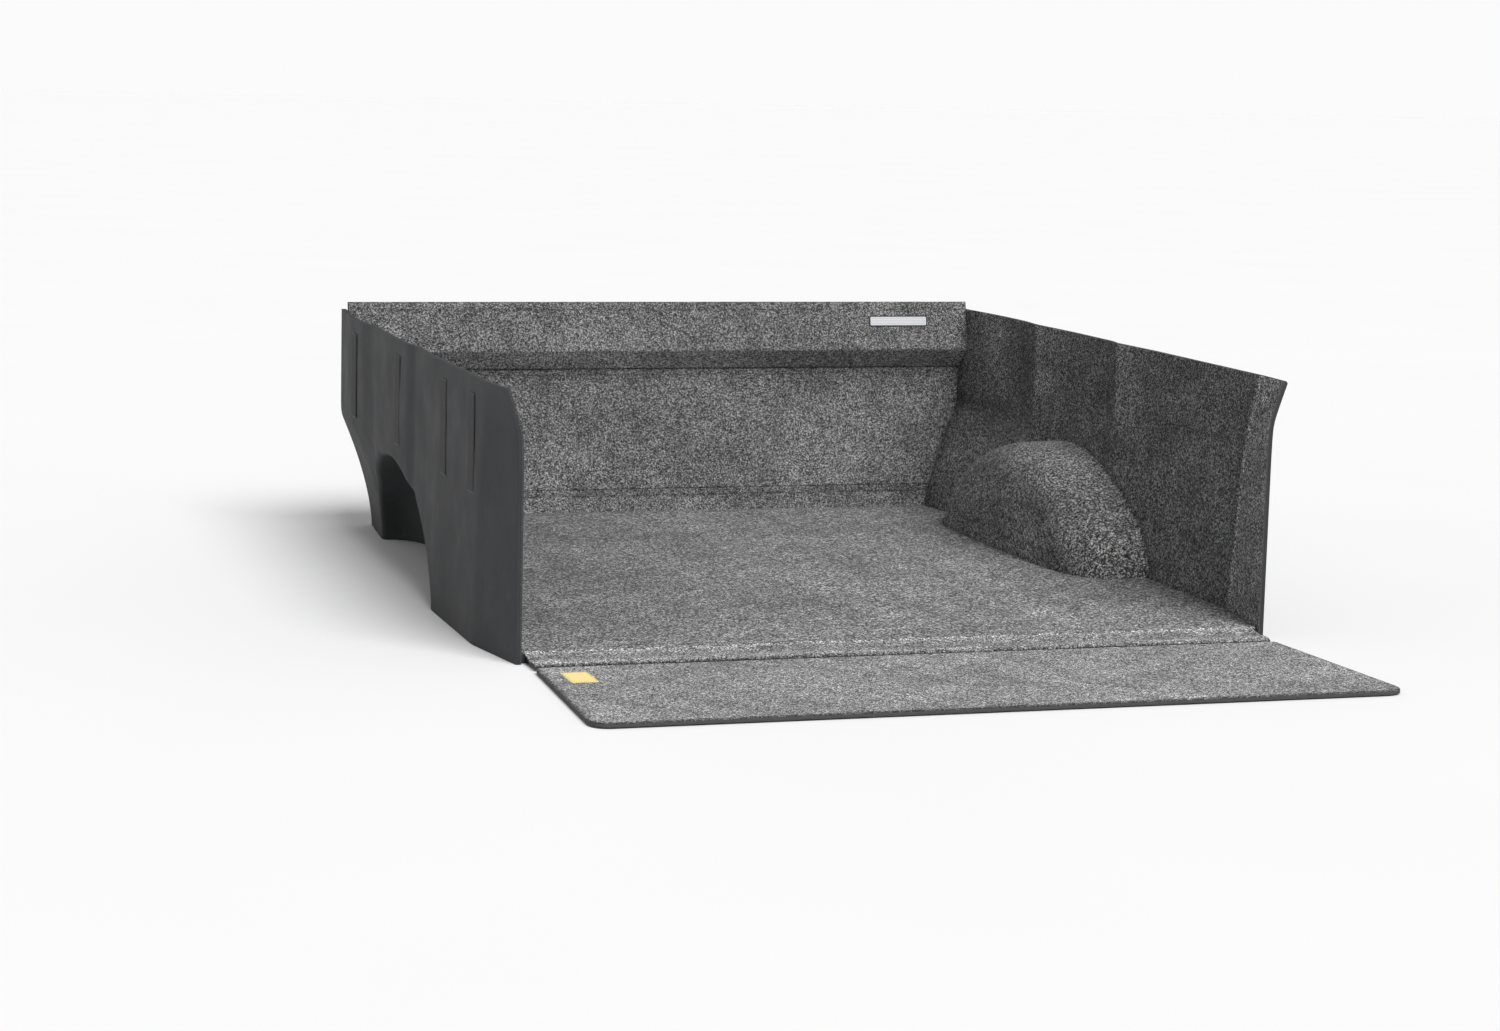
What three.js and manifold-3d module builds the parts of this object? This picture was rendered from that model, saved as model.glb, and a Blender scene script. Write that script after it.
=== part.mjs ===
// Carpeted bed liner for a full-size pickup: a floor mat, a headboard panel and two side panels
// moulded over the wheel humps, a gap guard that hinges at the tailgate, and a zipped-on tailgate mat.
// Every panel is a needle-punched carpet face on a closed-cell foam core.
// Units are millimetres. +X is the truck's right, +Y is towards the cab and +Z is up.
// Inside the group, y = 0 is the rear edge of the floor mat and z = 0 is the truck's bed floor.

import * as THREE from "three";
import { mergeVertices } from "three/addons/utils/BufferGeometryUtils.js";
import Module from "manifold-3d";

const wasm = await Module();
wasm.setup();

// Driving dimensions
const GAP = 0.3; // between pieces that touch
const FLOOR_LENGTH = 1697;
const FLOOR_FOAM = 17;
const FLOOR_CARPET = 4;
const WALL_CARPET = 3;
const WALL_FOAM = 7;
const SIDE_HEIGHT = 512;
const SIDE_REAR = -12;
const SIDE_FRONT = 1706;
const HEAD_HEIGHT = 531;

// Side wall face, as distances from the centre line
const RETURN_EDGE_X = 751; // rear edge of the angled return
const RETURN_FLARE_Z = 430; // above this the rear edge flares outward
const RETURN_FLARE = 0.35;
const RETURN_Y = 198; // crease where the angled return starts, at the foot
const RETURN_LEAN = 0.12; // the crease leans rearward all the way up
const RETURN_SPLAY_Z = 350; // and leans more above this
const RETURN_SPLAY = 0.22;
const WALL_X = 788;
const RIDGE_X = 780; // crest of the two upright ridges
const RIDGES_Y = [
  [600, 790, 850],
  [1050, 1245, 1360],
]; // gentle rear foot, crest and steep front foot of each ridge
const CORNER_Y = 1480;
const FRONT_X = 766; // at the front corner
const SHELF_Z = 270; // shelf line ahead of the hump
const SHELF_DEPTH = 76;
const SHELF_FADE_Y = [1150, 1400];

// Wheel hump: a squared dome against the wall
const HUMP_Y = 1035;
const HUMP_HALF_LENGTH = 455;
const HUMP_HEIGHT = 260;
const HUMP_FACE_X = 612;
const HUMP_ROOT_X = 790;
const ARCH_POWER = 1.8;
const SHOULDER_POWER = 4.5;

// Gap guard and tailgate mat
const GUARD_HALF_WIDTH = 742;
const GUARD_FRONT = -1;
const GUARD_REAR = -82;
const MAT_FRONT = -95;
const MAT_REAR = -578;
const MAT_HALF_FRONT = 745;
const MAT_HALF_REAR = 769;
const MAT_CORNER = 44; // rear corners
const MAT_SHOULDER = 14; // front corners
const STRIP_THICK = 2;
const MAT_FOAM = 5.5;
const MAT_CARPET = 3;
const MAT_BASE = STRIP_THICK + GAP;
const MAT_CARPET_BASE = MAT_BASE + MAT_FOAM + GAP;
const MAT_TOP = MAT_CARPET_BASE + MAT_CARPET;

// Zip between the gap guard and the tailgate mat
const ZIP_Y = -89;
const ZIP_HALF_LENGTH = 715;
const ZIP_GAP = 0.7; // half the space between the two rows of teeth
const TEETH_WIDTH = 2.2;
const TEETH_Z = [1.6, 3.6];
const TAPE_Z = [2, 3.2];
const TAPE_WIDTH = 16;
const SLIDER_LENGTH = 16;
const SLIDER_X = -704;
const PULL_LENGTH = 34;

const MATERIALS = {
  carpet: { color: 0x83868a, roughness: 1.0, metalness: 0 },
  foam: { color: 0x26272a, roughness: 0.9, metalness: 0 },
  hook: { color: 0x18181a, roughness: 0.8, metalness: 0 },
  badge: { color: 0xc9cbcd, roughness: 0.7, metalness: 0 },
  tag: { color: 0xe2c23c, roughness: 0.8, metalness: 0 },
  tape: { color: 0x1d1e20, roughness: 0.9, metalness: 0 },
  teeth: { color: 0x111214, roughness: 0.5, metalness: 0 },
  zip_metal: { color: 0x4a4b4e, roughness: 0.4, metalness: 0.8 },
};

const group = new THREE.Group();
group.position.y = -FLOOR_LENGTH / 2; // the origin is the centre of the floor mat's underside

function place(name, geometry, material) {
  const mesh = new THREE.Mesh(geometry, new THREE.MeshStandardMaterial(MATERIALS[material]));
  mesh.name = name;
  group.add(mesh);
  return mesh;
}

// Solids

function solid(geometry) {
  const bare = geometry.clone();
  bare.deleteAttribute("normal");
  bare.deleteAttribute("uv");
  const merged = mergeVertices(bare, 1e-4);
  return new wasm.Manifold(
    new wasm.Mesh({
      numProp: 3,
      vertProperties: new Float32Array(merged.attributes.position.array),
      triVerts: new Uint32Array(merged.index.array),
    }),
  );
}

function shapeOf(manifold) {
  const mesh = manifold.getMesh();
  const geometry = new THREE.BufferGeometry();
  geometry.setAttribute("position", new THREE.BufferAttribute(mesh.vertProperties, 3));
  geometry.setIndex(new THREE.BufferAttribute(mesh.triVerts, 1));
  geometry.computeVertexNormals();
  return geometry;
}

function mirrored(geometry) {
  const copy = geometry.index ? geometry.toNonIndexed() : geometry.clone();
  const { array } = copy.attributes.position;
  for (let i = 0; i < array.length; i += 9) {
    for (let k = 0; k < 3; k++) [array[i + k], array[i + 3 + k]] = [array[i + 3 + k], array[i + k]];
    for (let k = 0; k < 9; k += 3) array[i + k] *= -1;
  }
  copy.computeVertexNormals();
  return copy;
}

function block([x0, x1], [y0, y1], [z0, z1]) {
  const box = new THREE.BoxGeometry(x1 - x0, y1 - y0, z1 - z0);
  return box.translate((x0 + x1) / 2, (y0 + y1) / 2, (z0 + z1) / 2);
}

// A section drawn in (y, z) and drawn out along X from x0 to x1.
function extrusion(section, x0, x1) {
  const outline = new THREE.Shape(section.map(([y, z]) => new THREE.Vector2(y, z)));
  const geometry = new THREE.ExtrudeGeometry(outline, { depth: x1 - x0, bevelEnabled: false });
  const turn = new THREE.Matrix4().makeBasis(
    new THREE.Vector3(0, 1, 0),
    new THREE.Vector3(0, 0, 1),
    new THREE.Vector3(1, 0, 0),
  );
  return geometry.applyMatrix4(turn).translate(x0, 0, 0);
}

// The closed surface through rings of equally many points, with a fan to a centre at each end.
function loft(rings, firstCentre, lastCentre) {
  const count = rings[0].length;
  const points = [...rings.flat(), firstCentre, lastCentre];
  const first = points.length - 2;
  const last = points.length - 1;
  const faces = [];
  for (let i = 0; i < count; i++) {
    const next = (i + 1) % count;
    faces.push(first, next, i);
    for (let r = 0; r + 1 < rings.length; r++) {
      const here = r * count;
      const there = here + count;
      faces.push(here + i, here + next, there + next, here + i, there + next, there + i);
    }
    const end = (rings.length - 1) * count;
    faces.push(last, end + i, end + next);
  }
  const geometry = new THREE.BufferGeometry();
  geometry.setAttribute("position", new THREE.Float32BufferAttribute(points.flat(), 3));
  geometry.setIndex(faces);
  return geometry;
}

// Side wall

function along(points, at) {
  const k = Math.max(1, points.findIndex(([y], i) => i > 0 && at <= y));
  const [y0, x0] = points[k - 1];
  const [y1, x1] = points[k];
  return x0 + ((x1 - x0) * (at - y0)) / (y1 - y0);
}

const CAVITY_Y = [-30, 1730];
const CAVITY_Z = [-10, 560];

function returnCrease(z) {
  return RETURN_Y - RETURN_LEAN * z - RETURN_SPLAY * Math.max(0, z - RETURN_SPLAY_Z);
}

function returnEdge(z) {
  return RETURN_EDGE_X + RETURN_FLARE * Math.max(0, z - RETURN_FLARE_Z);
}

function wallFace(y, z) {
  const crease = returnCrease(z);
  const slope = (WALL_X - returnEdge(z)) / (crease - SIDE_REAR);
  const ridges = RIDGES_Y.flatMap(([rear, crest, front]) => [
    [rear, WALL_X],
    [crest, RIDGE_X],
    [front, WALL_X],
  ]);
  const relief = along(
    [
      [CAVITY_Y[0], WALL_X - slope * (crease - CAVITY_Y[0])],
      [crease, WALL_X],
      ...ridges,
      [CORNER_Y, WALL_X],
      [CAVITY_Y[1], FRONT_X],
    ],
    y,
  );
  const height = Math.min(Math.max(z, 0) / SHELF_Z, 1);
  const fade = Math.min(Math.max((y - SHELF_FADE_Y[0]) / (SHELF_FADE_Y[1] - SHELF_FADE_Y[0]), 0), 1);
  return relief - SHELF_DEPTH * (1 - height ** 1.6) * fade;
}

// Everything from x = start out to the side wall, whose face is moved outward by offset.
function room(offset, start) {
  const shelf = [0, 35, 70, 105, 140, 175, 210, 240, SHELF_Z];
  const heights = [CAVITY_Z[0], ...shelf, RETURN_SPLAY_Z, RETURN_FLARE_Z, SIDE_HEIGHT, CAVITY_Z[1]];
  const loops = heights.map((z) => {
    const lines = [
      CAVITY_Y[0],
      returnCrease(z),
      ...RIDGES_Y[0],
      RIDGES_Y[1][0],
      SHELF_FADE_Y[0],
      RIDGES_Y[1][1],
      RIDGES_Y[1][2],
      SHELF_FADE_Y[1],
      CORNER_Y,
      CAVITY_Y[1],
    ];
    const face = lines.map((y) => [wallFace(y, z) + offset, y, z]);
    return [[start, CAVITY_Y[0], z], ...face, [start, CAVITY_Y[1], z]];
  });
  const middle = (start + RETURN_EDGE_X) / 2 + 10;
  const centre = (z) => [Math.min(middle, 700), HUMP_Y, z];
  return loft(loops, centre(CAVITY_Z[0]), centre(CAVITY_Z[1]));
}

// The wheel hump, grown outward by grow, drawn out through the wall to x = 840.
function hump(grow) {
  const radii = [0.55, 0.75, 0.87, 0.94, 0.98, 1];
  const steps = 20;
  const ring = (radius, x) => {
    const arch = [];
    for (let i = 0; i <= steps; i++) {
      const turn = (Math.PI * i) / steps;
      const reach = (value) => Math.sign(value) * Math.abs(value) ** (2 / ARCH_POWER) * radius;
      const y = HUMP_Y + reach(Math.cos(turn)) * (HUMP_HALF_LENGTH + grow);
      const z = reach(Math.max(Math.sin(turn), 0)) * (HUMP_HEIGHT + grow);
      arch.push([x, y, z]);
    }
    return [[x, arch[0][1], CAVITY_Z[0] - 10], ...arch, [x, arch[steps][1], CAVITY_Z[0] - 10]];
  };
  const depth = HUMP_ROOT_X - HUMP_FACE_X + grow;
  const rings = radii.map((radius) => {
    const shoulder = (1 - radius ** SHOULDER_POWER) ** (1 / SHOULDER_POWER);
    return ring(radius, HUMP_ROOT_X - depth * shoulder);
  });
  rings.push(ring(1, 840));
  return loft(rings, [HUMP_ROOT_X - depth, HUMP_Y, HUMP_HEIGHT / 3], [840, HUMP_Y, HUMP_HEIGHT / 3]);
}

// The cargo space beside the centre line, with its walls and hump set back by offset.
function cavity(offset, start) {
  return solid(room(offset, start)).subtract(solid(hump(-offset)));
}

function sideLayer(inner, outer, base) {
  const trim = solid(block([300, 900], [SIDE_REAR, SIDE_FRONT], [base, SIDE_HEIGHT]));
  const shell = cavity(outer, 400).subtract(cavity(inner, 395));
  return shapeOf(shell.intersect(trim));
}

// Both halves of a piece that spans the bed, cut to the side panels with a running gap.
const SPAN_CLEARANCE = 1;
const bedSpace = cavity(-SPAN_CLEARANCE, -1);

function spanning(section) {
  const half = shapeOf(solid(extrusion(section, -0.5, 830)).intersect(bedSpace));
  return shapeOf(solid(half).add(solid(mirrored(half))));
}

function rectangle([y0, y1], [z0, z1]) {
  return [
    [y0, z0],
    [y1, z0],
    [y1, z1],
    [y0, z1],
  ];
}

// Floor mat
const floorRun = [0, FLOOR_LENGTH - GAP];
const floorTop = FLOOR_FOAM + GAP + FLOOR_CARPET;
place("floor_foam", spanning(rectangle(floorRun, [0, FLOOR_FOAM])), "foam");
place("floor_carpet", spanning(rectangle(floorRun, [FLOOR_FOAM + GAP, floorTop])), "carpet");

// Headboard panel: a flat field between two creases, and a lip that stands out over a bevel
const HEAD_FIELD_Y = FLOOR_LENGTH - 6;
const HEAD_LIP_Y = 1640;
const HEAD_TOP_Y = 1662;
const BEVEL_Z = 416;
const headFace = [
  [FLOOR_LENGTH, 0],
  [FLOOR_LENGTH, 56],
  [HEAD_FIELD_Y, 74],
  [HEAD_FIELD_Y, 352],
  [HEAD_FIELD_Y - 3, 367],
  [HEAD_LIP_Y, BEVEL_Z],
  [HEAD_TOP_Y, HEAD_HEIGHT],
];

function headLayer(inner, outer) {
  const front = headFace.map(([y, z]) => [y + outer, z]);
  const back = headFace.map(([y, z]) => [y + inner, z]).reverse();
  return spanning([...front, ...back]);
}

const wallLayers = { carpet: [0, WALL_CARPET], foam: [WALL_CARPET + GAP, WALL_CARPET + GAP + WALL_FOAM] };
const wallThick = wallLayers.foam[1];
place("headboard_carpet", headLayer(...wallLayers.carpet), "carpet");
place("headboard_foam", headLayer(...wallLayers.foam), "foam");

// Side panels
const sideCarpet = sideLayer(...wallLayers.carpet, 0.5);
const sideFoam = sideLayer(...wallLayers.foam, 0);
place("right_side_carpet", sideCarpet, "carpet");
place("right_side_foam", sideFoam, "foam");
place("left_side_carpet", mirrored(sideCarpet), "carpet");
place("left_side_foam", mirrored(sideFoam), "foam");

// Woven badge on the headboard's lip
const lipLean = Math.atan2(HEAD_TOP_Y - HEAD_LIP_Y, HEAD_HEIGHT - BEVEL_Z);
const BADGE = { x: 590, z: 485, width: 150, height: 26, thick: 1.5 };
const badge = place("badge", new THREE.BoxGeometry(BADGE.width, BADGE.thick, BADGE.height), "badge");
const badgeStandoff = (BADGE.thick / 2 + GAP) / Math.cos(lipLean);
badge.position.set(
  BADGE.x,
  HEAD_LIP_Y + (BADGE.z - BEVEL_Z) * Math.tan(lipLean) - badgeStandoff,
  BADGE.z,
);
badge.rotation.x = -lipLean;

// Hook-and-loop strips on the backs of the panels, which hold the liner to the truck
const STRIP_WIDTH = 50;

[-560, -190, 190, 560].forEach((x, i) => {
  const back = HEAD_FIELD_Y + wallThick + GAP;
  const strip = block([x - STRIP_WIDTH / 2, x + STRIP_WIDTH / 2], [back, back + STRIP_THICK], [110, 310]);
  place(`headboard_hook_strip_${i + 1}`, strip, "hook");
});

[220, 470, 930, 1425].forEach((y, i) => {
  const back = WALL_X + wallThick + GAP;
  const strip = block([back, back + STRIP_THICK], [y - STRIP_WIDTH / 2, y + STRIP_WIDTH / 2], [290, 480]);
  place(`right_hook_strip_${i + 1}`, strip, "hook");
  place(`left_hook_strip_${i + 1}`, mirrored(strip), "hook");
});

[-570, -190, 190, 570].forEach((x, i) => {
  const strip = block([x - STRIP_WIDTH / 2, x + STRIP_WIDTH / 2], [-520, -140], [0, STRIP_THICK]);
  place(`tailgate_hook_strip_${i + 1}`, strip, "hook");
});

// Gap guard: a flap that drops from the floor mat into a shallow valley, rises over a low ridge
// and ends level with the tailgate mat
const guardCrown = [
  [GUARD_REAR, MAT_TOP],
  [-77, 13.4],
  [-67, 14.6],
  [-52, 13.4],
  [-32, 14.0],
  [-10, 18.4],
  [GUARD_FRONT, 19.8],
];
const GUARD_CARPET = 3;
const GUARD_FOAM = 4.2;

function guardLayer(below, thick) {
  const top = guardCrown.map(([y, z]) => [y, z - below]);
  const under = guardCrown.map(([y, z]) => [y, z - below - thick]).reverse();
  return extrusion([...under, ...top].reverse(), -GUARD_HALF_WIDTH, GUARD_HALF_WIDTH);
}

place("gap_guard_carpet", guardLayer(0, GUARD_CARPET), "carpet");
place("gap_guard_foam", guardLayer(GUARD_CARPET + GAP, GUARD_FOAM), "foam");

// Tailgate mat
function matOutline() {
  const outline = new THREE.Shape();
  const lean = (MAT_HALF_REAR - MAT_HALF_FRONT) / (MAT_FRONT - MAT_REAR);
  const cornerX = MAT_HALF_REAR - lean * MAT_CORNER;
  const shoulderX = MAT_HALF_FRONT + lean * MAT_SHOULDER;
  outline.moveTo(MAT_SHOULDER - MAT_HALF_FRONT, MAT_FRONT);
  outline.quadraticCurveTo(-MAT_HALF_FRONT, MAT_FRONT, -shoulderX, MAT_FRONT - MAT_SHOULDER);
  outline.lineTo(-cornerX, MAT_REAR + MAT_CORNER);
  outline.quadraticCurveTo(-MAT_HALF_REAR, MAT_REAR, MAT_CORNER - MAT_HALF_REAR, MAT_REAR);
  outline.lineTo(MAT_HALF_REAR - MAT_CORNER, MAT_REAR);
  outline.quadraticCurveTo(MAT_HALF_REAR, MAT_REAR, cornerX, MAT_REAR + MAT_CORNER);
  outline.lineTo(shoulderX, MAT_FRONT - MAT_SHOULDER);
  outline.quadraticCurveTo(MAT_HALF_FRONT, MAT_FRONT, MAT_HALF_FRONT - MAT_SHOULDER, MAT_FRONT);
  return outline;
}

function matLayer(base, thick) {
  const options = { depth: thick, bevelEnabled: false, curveSegments: 8 };
  return new THREE.ExtrudeGeometry(matOutline(), options).translate(0, 0, base);
}

const tapeRabbet = solid(block([-800, 800], [MAT_FRONT - TAPE_WIDTH, 0], [0, TAPE_Z[1] + GAP]));
const matFoam = solid(matLayer(MAT_BASE, MAT_FOAM)).subtract(tapeRabbet);
place("tailgate_foam", shapeOf(matFoam), "foam");
place("tailgate_carpet", matLayer(MAT_CARPET_BASE, MAT_CARPET), "carpet");

// Plain tag stitched to the tailgate mat
const TAG = { x: [-715, -665], y: [-247, -157], thick: 1 };
const tagBase = MAT_TOP + GAP;
place("care_tag", block(TAG.x, TAG.y, [tagBase, tagBase + TAG.thick]), "tag");

// Zip: a tape and a row of teeth on each side, end stops, a slider and its pull
const zipRun = [-ZIP_HALF_LENGTH, ZIP_HALF_LENGTH];
const teethInner = ZIP_GAP;
const teethOuter = ZIP_GAP + TEETH_WIDTH;
place("zip_teeth_front", block(zipRun, [ZIP_Y + teethInner, ZIP_Y + teethOuter], TEETH_Z), "teeth");
place("zip_teeth_rear", block(zipRun, [ZIP_Y - teethOuter, ZIP_Y - teethInner], TEETH_Z), "teeth");
const rearTape = [MAT_FRONT - TAPE_WIDTH + 2, ZIP_Y - teethOuter - GAP];
const frontTape = [GUARD_REAR - 2, GUARD_REAR + TAPE_WIDTH - 4];
place("zip_tape_rear", block(zipRun, rearTape, TAPE_Z), "tape");
place("zip_tape_front", block(zipRun, frontTape, [TAPE_Z[0], TAPE_Z[1] - 0.2]), "tape");

for (const [side, sign] of [
  ["left", -1],
  ["right", 1],
]) {
  const from = sign * (ZIP_HALF_LENGTH + GAP);
  const run = [from, from + sign * 5].sort((a, b) => a - b);
  place(`zip_stop_${side}`, block(run, [ZIP_Y - teethOuter, ZIP_Y + teethOuter], [1.3, 4]), "zip_metal");
}

function zipSlider() {
  const half = SLIDER_LENGTH / 2;
  const topPlate = block([-half, half], [-5.2, 5.2], [4, 5.4]);
  const bottomPlate = block([-half, half], [-4, 4], [0.2, 1.3]);
  const neck = block([-half + 1, 0], [-0.4, 0.4], [0.8, 4.5]);
  const bridge = extrusion(
    [
      [-1, 5],
      [1, 5],
      [1, 8.6],
      [-1, 8.6],
    ],
    -half + 2,
    half - 2,
  );
  const eye = block([-half + 4, half - 4], [-2, 2], [6, 7.7]);
  return shapeOf(
    solid(topPlate).add(solid(bottomPlate)).add(solid(neck)).add(solid(bridge)).subtract(solid(eye)),
  );
}

// The pull's bar passes through the slider's eye, and its blade lies in the groove behind it.
const PULL_BAR_Z = 6.85;

function zipPull() {
  const frame = solid(block([-0.5, PULL_LENGTH], [-4, 4], [-0.5, 0.5]));
  const window = solid(block([0.5, 9], [-2.2, 2.2], [-2, 2]));
  const holeInBlade = solid(block([PULL_LENGTH - 8, PULL_LENGTH - 3], [-2, 2], [-2, 2]));
  return shapeOf(frame.subtract(window).subtract(holeInBlade));
}

const slider = place("zip_slider", zipSlider(), "zip_metal");
slider.position.set(SLIDER_X, ZIP_Y, 0);
const pull = place("zip_pull", zipPull(), "zip_metal");
pull.position.set(SLIDER_X, ZIP_Y, PULL_BAR_Z);

export default group;
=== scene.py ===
import math

import bmesh
import bpy
import numpy as np
from mathutils import Matrix, Vector


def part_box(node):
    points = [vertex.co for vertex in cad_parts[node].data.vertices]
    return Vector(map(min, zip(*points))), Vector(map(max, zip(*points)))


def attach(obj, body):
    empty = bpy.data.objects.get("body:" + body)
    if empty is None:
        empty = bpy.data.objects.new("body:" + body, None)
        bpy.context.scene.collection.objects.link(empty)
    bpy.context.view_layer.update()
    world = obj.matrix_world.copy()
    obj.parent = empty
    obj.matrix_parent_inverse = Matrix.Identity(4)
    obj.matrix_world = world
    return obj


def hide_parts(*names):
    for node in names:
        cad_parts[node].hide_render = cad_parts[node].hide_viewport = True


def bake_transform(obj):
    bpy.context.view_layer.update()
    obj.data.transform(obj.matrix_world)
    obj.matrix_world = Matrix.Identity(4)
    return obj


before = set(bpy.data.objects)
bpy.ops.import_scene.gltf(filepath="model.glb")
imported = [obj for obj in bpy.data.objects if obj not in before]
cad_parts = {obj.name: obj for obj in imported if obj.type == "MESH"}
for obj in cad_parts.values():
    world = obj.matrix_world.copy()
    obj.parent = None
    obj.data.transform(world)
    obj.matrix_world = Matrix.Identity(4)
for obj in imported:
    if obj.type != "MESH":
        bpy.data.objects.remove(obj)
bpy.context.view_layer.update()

# Datum and driving sizes, from the frame's boxes
floor_low, floor_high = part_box("floor_foam")
side_low, side_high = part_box("right_side_carpet")
head_low, head_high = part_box("headboard_carpet")
guard_low, guard_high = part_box("gap_guard_carpet")
mat_low, mat_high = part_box("tailgate_carpet")
DATUM = floor_low.y
FLOOR_LENGTH = floor_high.y - DATUM
FLOOR_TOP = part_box("floor_carpet")[1].z
SIDE_REAR = side_low.y - DATUM
SIDE_FRONT = side_high.y - DATUM
SIDE_TOP = side_high.z
HEAD_TOP = head_high.z
MAT_TOP = mat_high.z
CARPET_THICK = 0.003
WALL_THICK = 0.0103
FLOOR_CARPET_THICK = 0.004
GUARD_FOAM_THICK = 0.0044

# Side wall and wheel hump, as in the CAD model
RETURN_EDGE_X = 0.751
RETURN_FLARE_Z = 0.430
RETURN_FLARE = 0.35
RETURN_Y = 0.198
RETURN_LEAN = 0.12
RETURN_SPLAY_Z = 0.350
RETURN_SPLAY = 0.22
WALL_X = 0.788
RIDGE_X = 0.780
RIDGES_Y = ((0.600, 0.790, 0.850), (1.050, 1.245, 1.360))
CORNER_Y = 1.480
FRONT_X = 0.766
CAVITY_FRONT_Y = 1.730
SHELF_Z = 0.270
SHELF_DEPTH = 0.076
SHELF_FADE_Y = (1.150, 1.400)
HUMP_Y = 1.035
HUMP_HALF_LENGTH = 0.455
HUMP_HEIGHT = 0.260
HUMP_FACE_X = 0.612
HUMP_ROOT_X = 0.790
ARCH_POWER = 1.8
SHOULDER_POWER = 4.5

# Grid of a side panel: rays towards its front and rear edges and its top, and places along a ray
END_RAYS = 60
TOP_RAYS = 182
HUMP_STEPS = 52
WALL_STEPS = 101

# Rows and columns of the other panels' grids, apart from the close steps near edges and creases
FLOOR_GRID = (140, 116)
HEAD_GRID = (110, 118)
GUARD_GRID = (48, 180)
MAT_GRID = (50, 136)


# ---------------------------------------------------------------- materials


def node_tree(name):
    """A new material that holds one principled shader."""
    material = bpy.data.materials.new(name)
    material.use_nodes = True
    tree = material.node_tree
    tree.nodes.clear()
    out = tree.nodes.new("ShaderNodeOutputMaterial")
    shader = tree.nodes.new("ShaderNodeBsdfPrincipled")
    tree.links.new(shader.outputs["BSDF"], out.inputs["Surface"])
    return material, tree, shader


class Nodes:
    """Short forms for the nodes that the materials share."""

    def __init__(self, tree):
        self.tree = tree
        self.place = tree.nodes.new("ShaderNodeTexCoord").outputs["Object"]

    def link(self, a, b):
        self.tree.links.new(a, b)

    def noise(self, scale, detail=2.0, rough=0.5, place=None, distortion=0.0):
        n = self.tree.nodes.new("ShaderNodeTexNoise")
        n.inputs["Scale"].default_value = scale
        n.inputs["Detail"].default_value = detail
        n.inputs["Roughness"].default_value = rough
        n.inputs["Distortion"].default_value = distortion
        self.link(place or self.place, n.inputs["Vector"])
        return n

    def cells(self, scale, place=None):
        n = self.tree.nodes.new("ShaderNodeTexVoronoi")
        n.inputs["Scale"].default_value = scale
        self.link(place or self.place, n.inputs["Vector"])
        return n

    def waves(self, scale, direction):
        n = self.tree.nodes.new("ShaderNodeTexWave")
        n.bands_direction = direction
        n.inputs["Scale"].default_value = scale
        n.inputs["Distortion"].default_value = 0.0
        self.link(self.place, n.inputs["Vector"])
        return n

    def math(self, operation, a, b):
        n = self.tree.nodes.new("ShaderNodeMath")
        n.operation = operation
        for socket, value in zip(n.inputs, (a, b)):
            if isinstance(value, (int, float)):
                socket.default_value = value
            else:
                self.link(value, socket)
        return n.outputs[0]

    def channel(self, colour):
        n = self.tree.nodes.new("ShaderNodeSeparateColor")
        self.link(colour, n.inputs[0])
        return n.outputs[0]

    def ramp(self, value, stops):
        n = self.tree.nodes.new("ShaderNodeValToRGB")
        ramp = n.color_ramp
        while len(ramp.elements) < len(stops):
            ramp.elements.new(0.5)
        for element, (at, colour) in zip(ramp.elements, stops):
            element.position = at
            grey = isinstance(colour, (int, float))
            element.color = (colour,) * 3 + (1,) if grey else (*colour, 1)
        self.link(value, n.inputs["Fac"])
        return n.outputs["Color"]

    def mix(self, factor, a, b, blend="MIX"):
        n = self.tree.nodes.new("ShaderNodeMix")
        n.data_type = "RGBA"
        n.blend_type = blend
        for socket, value in zip((n.inputs[0], n.inputs[6], n.inputs[7]), (factor, a, b)):
            if isinstance(value, (int, float)):
                socket.default_value = value
            elif isinstance(value, tuple):
                socket.default_value = (*value, 1)
            else:
                self.link(value, socket)
        return n.outputs[2]

    def shifted(self, amount, scale):
        """The object place, moved about by noise, so that cells lose their straight edges."""
        wander = self.noise(scale, 1.0).outputs["Color"]
        centred = self.tree.nodes.new("ShaderNodeVectorMath")
        centred.operation = "SUBTRACT"
        self.link(wander, centred.inputs[0])
        centred.inputs[1].default_value = (0.5, 0.5, 0.5)
        scaled = self.tree.nodes.new("ShaderNodeVectorMath")
        scaled.operation = "SCALE"
        scaled.inputs["Scale"].default_value = amount
        self.link(centred.outputs[0], scaled.inputs[0])
        moved = self.tree.nodes.new("ShaderNodeVectorMath")
        moved.operation = "ADD"
        self.link(self.place, moved.inputs[0])
        self.link(scaled.outputs[0], moved.inputs[1])
        return moved.outputs[0]

    def bump(self, shader, height, strength, distance, below=None):
        n = self.tree.nodes.new("ShaderNodeBump")
        n.inputs["Strength"].default_value = strength
        n.inputs["Distance"].default_value = distance
        self.link(height, n.inputs["Height"])
        if below is not None:
            self.link(below, n.inputs["Normal"])
        self.link(n.outputs["Normal"], shader.inputs["Normal"])
        return n.outputs["Normal"]


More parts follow.
